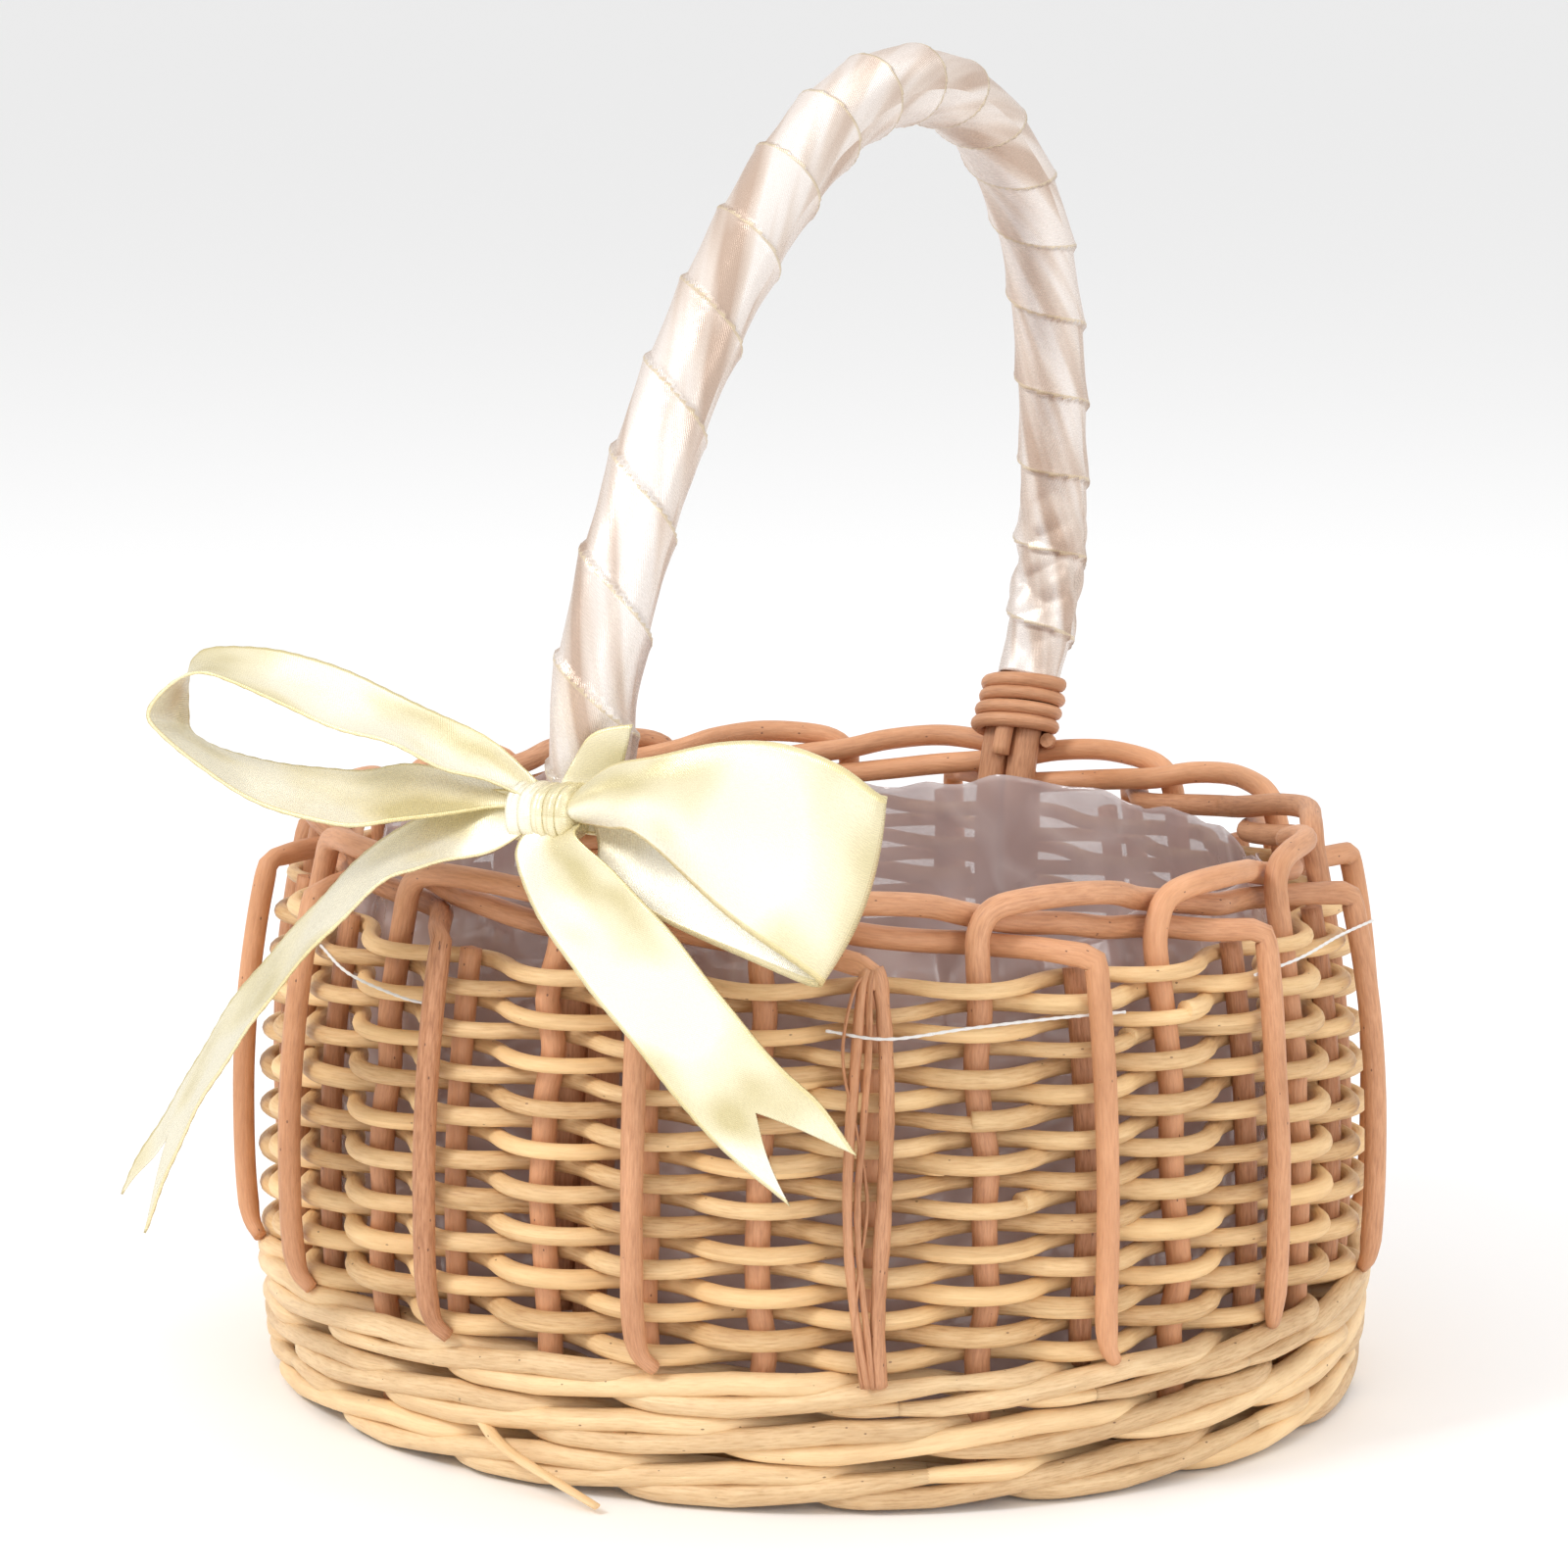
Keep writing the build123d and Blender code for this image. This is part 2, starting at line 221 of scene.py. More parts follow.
class Shader:
    """A small helper that adds and links the nodes of one Principled material."""

    def __init__(self, name):
        self.material = bpy.data.materials.new(name)
        self.material.use_nodes = True
        self.nodes = self.material.node_tree.nodes
        self.links = self.material.node_tree.links
        self.surface = self.nodes["Principled BSDF"]

    def add(self, kind, values=None, **settings):
        node = self.nodes.new(kind)
        for key, value in settings.items():
            setattr(node, key, value)
        for key, value in (values or {}).items():
            if isinstance(value, bpy.types.NodeSocket):
                self.links.new(value, node.inputs[key])
            else:
                node.inputs[key].default_value = value
        return node

    def coords(self, scale, kind="UV"):
        source = self.add("ShaderNodeTexCoord").outputs[kind]
        return self.add("ShaderNodeMapping", {"Vector": source, "Scale": scale}).outputs["Vector"]

    def noise(self, vector, scale, detail=3.0, rough=0.55):
        values = {"Vector": vector, "Scale": scale, "Detail": detail, "Roughness": rough}
        return self.add("ShaderNodeTexNoise", values).outputs["Fac"]

    def ramp(self, fac, stops):
        node = self.add("ShaderNodeValToRGB", {"Fac": fac})
        while len(node.color_ramp.elements) < len(stops):
            node.color_ramp.elements.new(0.5)
        for element, (place, colour) in zip(node.color_ramp.elements, stops):
            element.position = place
            element.color = (*colour, 1.0)
        return node.outputs["Color"]

    def mix(self, fac, a, b, blend="MIX"):
        """Mixes two colours; the node's sockets 0, 6 and 7 are the factor and the colours."""
        node = self.nodes.new("ShaderNodeMix")
        node.data_type, node.blend_type = "RGBA", blend
        for socket, value in ((0, fac), (6, a), (7, b)):
            if isinstance(value, bpy.types.NodeSocket):
                self.links.new(value, node.inputs[socket])
            elif socket:
                node.inputs[socket].default_value = (*value, 1.0)
            else:
                node.inputs[socket].default_value = value
        return node.outputs[2]

    def math(self, operation, a, b=0.0):
        node = self.nodes.new("ShaderNodeMath")
        node.operation = operation
        for socket, value in ((0, a), (1, b)):
            if isinstance(value, bpy.types.NodeSocket):
                self.links.new(value, node.inputs[socket])
            else:
                node.inputs[socket].default_value = value
        return node.outputs[0]

    def bump(self, heights):
        """Chains bumps: each is (height socket, strength, distance in metres)."""
        normal = None
        for height, strength, distance in heights:
            values = {"Height": height, "Strength": strength, "Distance": distance}
            if normal is not None:
                values["Normal"] = normal
            normal = self.add("ShaderNodeBump", values).outputs["Normal"]
        self.links.new(normal, self.surface.inputs["Normal"])

    def use(self, **sockets):
        for key, value in sockets.items():
            name = key.replace("_", " ")
            if isinstance(value, bpy.types.NodeSocket):
                self.links.new(value, self.surface.inputs[name])
            else:
                self.surface.inputs[name].default_value = value


def willow(name, pale, usual, deep, speck_colour, speck_share):
    """Peeled or boiled willow: long grain, tint from rod to rod, leaf scars and pores."""
    s = Shader(name)
    tint = s.add("ShaderNodeAttribute", attribute_name="tint").outputs["Fac"]
    grain = s.noise(s.coords((0.9, 7.0, 1.0)), 3.0, 5.0, 0.6)
    patches = s.noise(s.coords((0.25, 0.7, 1.0)), 1.6, 2.0)
    room = s.noise(s.coords((60.0, 60.0, 60.0), "Object"), 1.0, 2.0)
    colour = s.ramp(grain, [(0.28, deep), (0.5, usual), (0.74, pale)])
    colour = s.mix(s.math("MULTIPLY", tint, 0.75), colour, usual)
    warms = [(0.0, (0.80, 0.74, 0.68)), (0.5, (1.0, 0.99, 0.97)), (1.0, (1.14, 1.12, 1.06))]
    warm = s.ramp(tint, warms)
    colour = s.mix(1.0, colour, warm, "MULTIPLY")
    shade = s.ramp(patches, [(0.3, (0.84, 0.78, 0.72)), (0.6, (1.05, 1.04, 1.03))])
    colour = s.mix(0.85, colour, shade, "MULTIPLY")
    drift = s.ramp(room, [(0.3, (0.92, 0.88, 0.84)), (0.65, (1.05, 1.05, 1.04))])
    colour = s.mix(0.7, colour, drift, "MULTIPLY")
    spot_places = {"Vector": s.coords((1.0, 1.6, 1.0)), "Scale": 3.4, "Randomness": 1.0}
    spots = s.add("ShaderNodeTexVoronoi", spot_places)
    close = s.math("LESS_THAN", spots.outputs["Distance"], 0.10)
    lot = s.add("ShaderNodeSeparateColor", {"Color": spots.outputs["Color"]}).outputs[0]
    chosen = s.math("LESS_THAN", lot, speck_share)
    colour = s.mix(s.math("MULTIPLY", s.math("MULTIPLY", close, chosen), 0.75), colour, speck_colour)
    pores = s.noise(s.coords((2.0, 9.0, 1.0)), 9.0, 2.0)
    rough = s.add("ShaderNodeMapRange", {"Value": grain, "To Min": 0.36, "To Max": 0.62}).outputs[0]
    s.use(Base_Color=colour, Roughness=rough)
    s.surface.inputs["Specular IOR Level"].default_value = 0.45
    s.surface.inputs["Subsurface Weight"].default_value = 0.06
    s.surface.inputs["Subsurface Scale"].default_value = 0.002
    s.surface.inputs["Subsurface Radius"].default_value = (1.0, 0.6, 0.35)
    s.bump([(grain, 0.32, 0.0005), (pores, 0.2, 0.0003), (close, 0.12, 0.0003)])
    return s.material


def satin(name, painted_highlight, middle, deep, thread, painted_gloss_scale, edge_from):
    """Satin ribbon: painted highlights and painted shade in long bands along it, painted shade where it turns
    from view, fine ribs across it and a darker thread along each edge (on the wrap that edge band is painted
    seam shade).
    """
    s = Shader(name)
    ribs = s.add(
        "ShaderNodeTexWave",
        {"Vector": s.coords((1.0, 0.12, 1.0)), "Scale": 9.0, "Distortion": 0.6, "Detail": 1.0},
        wave_type="BANDS",
        bands_direction="X",
    ).outputs["Fac"]
    threads = s.noise(s.coords((1.0, 16.0, 1.0)), 9.0, 2.0)
    # A slow noise along the ribbon and a ramp over it from the deep colour to the light one: painted
    # highlights and painted shade in long bands, standing in for gloss
    painted_gloss_bands = s.noise(s.coords((*painted_gloss_scale, 1.0)), 1.0, 2.0, 0.4)
    # The facing weight below mixes the colour towards the deep one where the ribbon turns from the view:
    # painted shade
    turned = s.add("ShaderNodeLayerWeight", {"Blend": 0.35}).outputs["Facing"]
    colour = s.ramp(painted_gloss_bands, [(0.36, deep), (0.47, middle), (0.56, painted_highlight)])
    colour = s.mix(s.math("MULTIPLY", turned, 0.7), colour, deep)
    woven = s.ramp(threads, [(0.3, (0.88, 0.86, 0.82)), (0.7, (1.05, 1.05, 1.05))])
    colour = s.mix(0.5, colour, woven, "MULTIPLY")
    # The edge band: on the bow it is the picot thread's own colour; on the wrap it is a darker line along
    # each turn's lapping edge, painted seam shade
    across = s.add("ShaderNodeSeparateXYZ", {"Vector": s.coords((1.0, 1.0, 1.0))}).outputs["Y"]
    edge = s.math("GREATER_THAN", s.math("ABSOLUTE", across), edge_from)
    colour = s.mix(s.math("MULTIPLY", edge, 0.7), colour, thread)
    rough = s.add("ShaderNodeMapRange", {"Value": threads, "To Min": 0.2, "To Max": 0.34}).outputs[0]
    s.use(Base_Color=colour, Roughness=rough)
    s.surface.inputs["Metallic"].default_value = 0.35
    s.surface.inputs["Specular IOR Level"].default_value = 0.8
    s.surface.inputs["Anisotropic"].default_value = 0.5
    s.bump([(ribs, 0.3, 0.00014), (threads, 0.16, 0.0001)])
    return s.material


def film(name):
    """Clear plastic film with a mauve cast, softly folded and dented, with painted shade in the fold hollows
    and painted highlights along each crease.
    """
    s = Shader(name)
    place = s.coords((1.0, 1.0, 1.0), "Object")
    folds = s.noise(place, 26.0, 3.0, 0.5)
    cells = s.add("ShaderNodeTexVoronoi", {"Vector": place, "Scale": 42.0}, feature="F1")
    dents = cells.outputs["Distance"]
    painted_crease_highlights = s.math("ABSOLUTE", s.math("SUBTRACT", s.noise(place, 19.0, 2.0, 0.45), 0.5))
    # The colour follows the bump's fold heights: painted shade in the hollows, lighter on the crests
    colour = s.ramp(folds, [(0.35, (0.50, 0.37, 0.35)), (0.65, (0.68, 0.55, 0.53))])
    # Thin pale lines mixed in along the crease lines: painted highlights
    line = s.ramp(painted_crease_highlights, [(0.0, (1.0, 1.0, 1.0)), (0.022, (0.0, 0.0, 0.0))])
    colour = s.mix(s.math("MULTIPLY", line, 0.3), colour, (0.95, 0.86, 0.84))
    s.use(Base_Color=colour, Roughness=0.14)
    s.surface.inputs["Alpha"].default_value = 0.58
    s.surface.inputs["Specular IOR Level"].default_value = 0.8
    s.bump([(folds, 0.5, 0.003), (dents, 0.45, 0.003)])
    return s.material


def spun(name, colour):
    """Twisted white thread."""
    s = Shader(name)
    twist = s.noise(s.coords((6.0, 20.0, 1.0)), 6.0, 2.0)
    shaded = tuple(0.82 * part for part in colour)
    s.use(Base_Color=s.ramp(twist, [(0.3, shaded), (0.7, colour)]), Roughness=0.8)
    s.bump([(twist, 0.5, 0.0002)])
    return s.material


PALE_WILLOW = willow(
    "white_willow",
    pale=(0.87, 0.66, 0.40),
    usual=(0.77, 0.54, 0.29),
    deep=(0.57, 0.34, 0.16),
    speck_colour=(0.20, 0.10, 0.05),
    speck_share=0.16,
)
FOOT_WILLOW = willow(
    "foot_willow",
    pale=(0.89, 0.71, 0.46),
    usual=(0.80, 0.59, 0.35),
    deep=(0.58, 0.37, 0.19),
    speck_colour=(0.16, 0.08, 0.04),
    speck_share=0.22,
)
BUFF_WILLOW = willow(
    "buff_willow",
    pale=(0.75, 0.43, 0.27),
    usual=(0.60, 0.31, 0.17),
    deep=(0.38, 0.17, 0.09),
    speck_colour=(0.12, 0.05, 0.03),
    speck_share=0.30,
)
# In both satins the light colour is painted highlight and the deep colour is painted shade; the middle colour
# is the ribbon's own
WRAP_SATIN = satin(
    "wrap_satin",
    painted_highlight=(0.93, 0.87, 0.83),
    middle=(0.80, 0.69, 0.61),
    deep=(0.56, 0.41, 0.32),
    # On the wrap this thread colour is painted shade along each seam
    thread=(0.72, 0.58, 0.38),
    painted_gloss_scale=(1.5, 0.16),
    edge_from=1.88,
)
# Painted highlight in the light colour, painted shade in the deep one, as on the wrap
BOW_SATIN = satin(
    "bow_satin",
    painted_highlight=(0.97, 0.93, 0.80),
    middle=(0.92, 0.84, 0.60),
    deep=(0.66, 0.57, 0.31),
    thread=(0.84, 0.70, 0.34),
    painted_gloss_scale=(0.35, 0.5),
    edge_from=0.93,
)
LINER_FILM = film("liner_film")
THREAD = spun("thread", (0.88, 0.86, 0.83))


# ---------------------------------------------------------------- side weave


def side_row(row):
    """One row of side weave: two rods that overlap, each thick at its butt and thin at its tip."""
    rng = np.random.default_rng(100 + row)
    pile = Pile()
    height = FIRST_SIDE_ROW + row * SIDE_ROW_PITCH
    phase = row % 2  # each row passes outside the uprights that the last one passed inside
    grow = 1.14 - 0.26 * row / SIDE_ROWS  # the lower rows are of thicker rods
    butt_radius, taper = 1.98, 0.42
    points_per_place = 13
    seam = rng.uniform(0, PLACES)
    first = rng.uniform(15.0, 18.0)
    lengths = (first, PLACES - first)
    for rod in range(2):
        start = seam + (first if rod else 0) - rng.uniform(0.7, 1.4)
        length = lengths[rod] + rng.uniform(1.6, 2.6)
        places = np.linspace(start, start + length, int(length * points_per_place))
        share = np.linspace(0, 1, len(places))
        wave = -np.cos(np.pi * (places - phase))
        wave = np.sign(wave) * np.abs(wave) ** 0.9
        rise = wander(rng, share, 7, 0.42) + 0.45 * np.sin(2 * np.pi * places / PLACES + 1.3)
        lap = 0.75 * (np.clip(1 - share * length / 2.0, 0, 1) - np.clip(1 - (1 - share) * length / 2.0, 0, 1))
        radius = grow * (butt_radius - taper * share) * (1 + wander(rng, share, 9, 0.045))
        radius *= np.clip(0.72 + 1.2 * (1 - share) * length, 0, 1)
        lane = SIDE_LANE * 0.97 + wander(rng, share, 6, 0.12)
        line = wall_points(places, bulge(height) + wave * lane, height + rise + lap)
        pile.tube(line, radius, rng.uniform(0, 1), sides=12, flat=0.95)
    return pile.finish(f"side_weave_{row + 1:02d}", PALE_WILLOW)


# ---------------------------------------------------------------- foot wale


def foot_wale():
    """Rounds of three thick rods.

    Each rod passes in front of two gaps and behind one, and climbs over the next two rods.
    """
    pile = Pile()
    rounds, rods, strokes = 3, 3, 18
    rod_size, lowest, round_pitch = 2.35, 5.0, 8.7
    shortest = 40  # points between two joins, where one rod ends and the next one starts
    for level in range(rounds):
        for rod in range(rods):
            rng = np.random.default_rng(40 + rods * level + rod)
            steps = np.linspace(0, strokes, 620) + rod + 0.4 * level
            share = np.linspace(0, 1, len(steps))
            phase = (steps - rod) % rods
            front = np.clip(np.minimum(phase, rods - phase) / 0.7, 0, 1)
            front = front * front * (3 - 2 * front)
            lift = np.interp(phase, [0, 0.5, 1, 2, 2.5, 3], [0, -1.0, -0.95, 0.95, 1.0, 0])
            blend = np.sin(np.pi * share) ** 0.25
            height = lowest + round_pitch * level + lift * rod_size * 0.98
            height = np.maximum(height + blend * wander(rng, share, 12, 0.42), rod_size + 0.2)
            lane = FOOT_LANE * (2 * front - 1) + 0.25 * wander(rng, share, 9, 1.0)
            radius = rod_size * (1 + wander(rng, share, 16, 0.07))
            places = steps * PLACES / strokes + 0.9 * level
            line = wall_points(places, bulge(height) + lane, height)
            cuts = [0]
            for cut in np.sort(rng.integers(shortest, len(line) - shortest, 3)):
                if cut - cuts[-1] >= shortest:
                    cuts.append(int(cut))
            cuts.append(len(line))
            for first, last in zip(cuts, cuts[1:]):
                piece = slice(max(first - 8, 0), last)
                from_end = np.arange(piece.stop - piece.start)
                taper = np.clip(0.55 + np.minimum(from_end, from_end[::-1]) / shortest, 0, 1)
                pile.tube(line[piece], radius[piece] * taper, rng.uniform(0, 1), sides=14, flat=0.93)
    # A loose sliver under the near foot of the handle: (place, distance outward, height)
    twig = [(-0.7, 3.0, 12.5), (-0.2, 8.0, 8.0), (0.75, 12.5, 1.5)]
    wall_there = float(bulge(20))
    line = through([wall_points(place, wall_there + out, height) for place, out, height in twig], 1.2)
    pile.tube(line, np.linspace(1.5, 0.9, len(line)), 0.9, sides=10, flat=0.55)
    return pile.finish("foot_wale", FOOT_WILLOW)


# ---------------------------------------------------------------- stakes and border


def split_rod(pile, place):
    """The outer rod that has cracked: two halves that part in the middle, with loose bark between.

    Each strip is given as its places past the rod's own, how far out it lies, its size and its flatness.
    """
    drop = np.array([101.2, 98.0, 86.0, 72.0, 60.0, 48.0, 36.0, 25.5])
    strips = (
        ([0.02, 0.06, 0.10, 0.10, 0.08, 0.05, 0.03, 0.05], 0.0, 1.75, 0.75),
        ([-0.05, -0.10, -0.15, -0.20, -0.22, -0.20, -0.14, -0.06], 0.4, 1.25, 0.7),
        ([-0.02, -0.04, -0.05, -0.10, -0.14, -0.12, -0.06, -0.02], 1.2, 0.8, 0.5),
        ([0.00, -0.16, -0.26, -0.14, -0.06, -0.12, -0.16, -0.10], 0.9, 0.6, 0.5),
    )
    for slide, out, size, flat in strips:
        rng = np.random.default_rng(int(size * 100))
        corners = wall_points(place + np.array(slide), bulge(drop) + OUTER_LANE - 0.3 + out, drop)
        line = through(corners, 1.2)
        radius = size * (1 + wander(rng, np.linspace(0, 1, len(line)), 14, 0.12))
        pile.tube(line, radius, rng.uniform(0, 0.6), sides=12, flat=flat)


def stake(index):
    """One main stake: up through the weave, along the border, and down outside the wall."""
    rng = np.random.default_rng(200 + index)
    place = 2 * index
    rim = float(bulge(BORDER_HEIGHT))
    rise = rng.normal(0, 0.35)
    heights = np.linspace(2.0, 100.0, 12)
    sway = rng.normal(0, 0.03, 12)
    upright = wall_points(place + sway, bulge(heights), heights)
    # From the wall's top to the drop: (places past the stake's own, distance outward, height)
    border = [
        (0.03, rim - 0.2, 105.2),
        (0.16, rim - 0.5, 108.4 + rise),
        (0.45, rim - 0.5, 109.9 + rise),
        (1.0, rim - 0.5 + rng.normal(0, 0.3), 110.4 + rise),
        (1.55, rim - 2.4, 109.4 + rise),
        (2.0, rim - 5.4, 107.6),
        (2.5, rim - 4.7, 105.9 + rng.normal(0, 0.2)),
        (3.0, rim - 3.2 + rng.normal(0, 0.25), 104.6 + rng.normal(0, 0.3)),
        (3.5, rim - 4.6, 103.3),
        (4.0, rim - 5.9, 102.3),
        (4.3, rim - 3.9, 101.9),
        (4.62, rim + 1.6, 101.8 + rng.normal(0, 0.3)),
        (4.9, rim + 7.6, 101.5),
    ]
    border = np.array([wall_points(place + p, o, h) for p, o, h in border])
    drop = np.array([100.4, 97.0, 88.0, 76.0, 62.0, 48.0, 37.0, 30.0, 26.8])
    lean = rng.normal(0, 0.05) * np.array([0, 0, 0.5, 1, 1, 1, 1, 1.3, 1.6])
    slide = lean + np.array([0, 0, 0, 0, 0, 0, 0, 0.04, 0.15])
    lanes = OUTER_LANE + np.array([-0.2, 0, 0.3, 0.5, 0.5, 0.3, 0.1, -0.4, -1.8])
    outside = wall_points(place + 5 + slide, bulge(drop) + lanes, drop)
    outer = through(outside, 1.5)
    if index == SPLIT_STAKE:
        outer = outer[:3]
    line = np.vstack([through(np.vstack([upright, border]), 1.5), outer])
    share = np.linspace(0, 1, len(line))
    radius = (2.38 - 0.30 * share) * (1 + wander(rng, share, 12, 0.03))
    kink = np.linalg.norm(line - border[-1], axis=1)
    radius = radius * (1 + 0.06 * np.exp(-((kink / 3.5) ** 2)))
    radius = radius * np.clip(0.62 + (1 - share) * 14, 0, 1)
    pile = Pile()
    flat = 1 - 0.22 * np.exp(-((kink / 3.0) ** 2))
    pile.tube(line, radius, rng.uniform(0, 1), sides=14, flat=flat)
    if index == SPLIT_STAKE:
        split_rod(pile, place + 5)
    return pile.finish(f"stake_{index + 1:02d}", BUFF_WILLOW)


def by_stakes():
    """Short rods between the main stakes, behind the outer ones."""
    pile = Pile()
    heights = np.linspace(25.0, 98.0, 40)
    share = np.linspace(0, 1, len(heights))
    for place in range(1, PLACES, 2):
        rng = np.random.default_rng(300 + place)
        line = wall_points(place + wander(rng, share, 2, 0.02), bulge(heights), heights)
        pile.tube(line, BY_STAKE_RADIUS, rng.uniform(0, 1), sides=10)
    return pile.finish("by_stake_set", BUFF_WILLOW)


# ---------------------------------------------------------------- hoop handle

# The hoop's route: the same corners as in the CAD model
HOOP_POINTS = [
    (0, -89.3, 31), (0, -80.0, 103), (1, -84.0, 128), (4, -86.5, 154), (8.5, -62.0, 207), (12, -13.0, 251),
    (12, 38.0, 253), (9.5, 80.0, 222), (5, 97.0, 166), (3, 95.0, 134), (0, 79.2, 103), (0, 89.3, 31),
]
HOOP = cut_corners(HOOP_POINTS, 4, 0.8)
HOOP_TOP = int(np.argmax(HOOP[:, 2]))
HOOP_FRONT = np.array([0.0, -1.0, 0.0])  # sets which way the hoop's side directions start
ROD_RADIUS, ROD_SHIFT = 3.1, 3.25  # of the two long rods
PACKING_RADIUS, PACKING_SHIFT = 1.9, 4.2
BINDING_FOOT, BINDING_TURNS, BINDING_PITCH, BINDING_RADIUS = 112.5, 4, 3.0, 1.5


def hoop_index(height, far):
    """Where the hoop's line passes a height, on its near or far leg."""
    if far:
        return HOOP_TOP + int(np.argmin(np.abs(HOOP[HOOP_TOP:, 2] - height)))
    return int(np.argmin(np.abs(HOOP[:HOOP_TOP, 2] - height)))


def hoop_rods():
    """The two long rods of the hoop."""
    _, side, _ = carried_frames(HOOP, HOOP_FRONT)
    share = np.linspace(0, 1, len(HOOP))
    pieces = []
    for name, shift in (("hoop_left", -ROD_SHIFT), ("hoop_right", ROD_SHIFT)):
        rng = np.random.default_rng(400 + len(name))
        line = HOOP + side * shift
        radius = ROD_RADIUS * (1 + wander(rng, share, 9, 0.02))
        pile = Pile()
        pile.tube(line[::2], radius[::2], 0.35, sides=14)
        pieces.append(pile.finish(name, BUFF_WILLOW))
    return pieces


def packing():
    """The two thin rods that fill the hoop out, seen below the wrap's ends."""
    _, _, other = carried_frames(HOOP, HOOP_FRONT)
    foot = 108.0
    span = slice(hoop_index(foot, False), hoop_index(foot, True))
    pile = Pile()
    for shift, tint in ((-PACKING_SHIFT, 0.3), (PACKING_SHIFT, 0.7)):
        pile.tube((HOOP + other * shift)[span][::2], PACKING_RADIUS, tint, sides=12)
    return pile.finish("packing_pair", BUFF_WILLOW)


def binding(name, far):
    """Thin willow wound round the hoop's foot, upwards along the hoop."""
    rng = np.random.default_rng(420 + far)
    first = hoop_index(BINDING_FOOT, far)
    axis = unit(HOOP[first + (-8 if far else 8)] - HOOP[first])
    side = np.array([1.0, 0.0, 0.0])
    other = np.cross(axis, side)
    turn = np.linspace(0, BINDING_TURNS, BINDING_TURNS * 40)
    share = turn / BINDING_TURNS
    radius = BINDING_RADIUS + wander(rng, share, 5, 0.08)
    reach_x = ROD_SHIFT + ROD_RADIUS + BINDING_RADIUS + 0.05
    reach_y = 6.6
    climb = turn * BINDING_PITCH + wander(rng, share, 7, 0.25)
    angle = 2 * np.pi * turn
    line = HOOP[first] + axis * climb[:, None]
    line = line + side * (reach_x * np.cos(angle) + wander(rng, share, 9, 0.3))[:, None]
    line = line + other * (reach_y * np.sin(angle))[:, None]
    pile = Pile()
    pile.tube(line, radius, 0.55, sides=12)
    return pile.finish(name, BUFF_WILLOW)


def satin_wrap():
    """The ribbon wound round the hoop: each turn laps the last, with an edge line and wrinkles."""
    rng = np.random.default_rng(7)
    near_end, far_end = 125, 123.5
    step, columns = 0.7, 72
    usual_radius, least_radius = 7.25, 6.75
    line = resampled(HOOP[hoop_index(near_end, False) : hoop_index(far_end, True)], step)
    _, side, other = carried_frames(line, HOOP_FRONT)
    far = np.arange(len(line)) * step
    angle = np.linspace(0, 2 * np.pi, columns, endpoint=False)
    along, around = np.meshgrid(far, angle, indexing="ij")
    hoop_length = along[-1, 0]
    pitch = 18.0 + 1.5 * np.sin(along / 31.0)
    lean = 0.12 * np.sin(around + along / 40.0)
    winding = np.cumsum(step / pitch, axis=0) + around / (2 * np.pi) + lean
    turn = winding % 1.0
    number = np.floor(winding).astype(int)
    shuffle = rng.permutation(97) / 97.0
    skew = shuffle[(number * 7) % 97]
    middle = np.sin(np.pi * turn)
    lap = 0.8 * turn**1.6 - 0.1
    edge = 0.16 * np.exp(-(((turn - 0.955) / 0.018) ** 2))
    flats = 0.30 * np.abs(np.sin(1.5 * around + 7 * skew + along / 26.0)) * middle
    crease = 0.05 * np.abs(np.sin(along * 0.22 + around * 1.4 + 9 * skew)) * middle**2
    fine = 0.03 * np.sin(along * 0.5 + around * 9.0 + 5 * skew) * middle
    slow = 0.12 * np.sin(along / 27.0 + 2 * around)
    pinch = 1 - 0.10 * np.exp(-((hoop_length - along) / 5.0)) - 0.05 * np.exp(-along / 4.0)
    # The far end is wound untidily: two sets of slanted wrinkles, round a place 24 mm from the end
    messy = np.exp(-(((along - (hoop_length - 24)) / 15.0) ** 2))
    slant = 0.9 * np.abs(np.sin(along * 0.24 + around * 1.3))
    counter = 0.6 * np.abs(np.sin(along * 0.36 - around * 1.9 + 1.0))
    tangle = messy * (slant + counter - 0.6)
    radius = usual_radius + lap + edge - flats - crease + fine + slow + tangle
    radius = np.maximum(radius * pinch, least_radius)
    taper = 1.08 - 0.12 * along / hoop_length
    radius = radius * taper
    ring = side[:, None] * np.cos(around)[..., None] + other[:, None] * np.sin(around)[..., None]
    points = line[:, None] + ring * radius[..., None]
    v = np.concatenate([turn, turn[:, :1]], 1)
    u = np.concatenate([around, around[:, :1] + 2 * np.pi], 1) * 7.6 + along[:, :1] * 0.3
    pile = Pile()
    coords = np.stack([u * UV_PER_MM, v * 2.0], -1)
    pile.grid(points, coords, 0.5, True)
    skin = pile.finish("satin_winding", WRAP_SATIN)
    thick = skin.modifiers.new("cloth", "SOLIDIFY")
    thick.thickness, thick.offset = 0.0004, -1
    return skin


# ---------------------------------------------------------------- bow

KNOT = np.array([4.0, -99.5, 127.0])


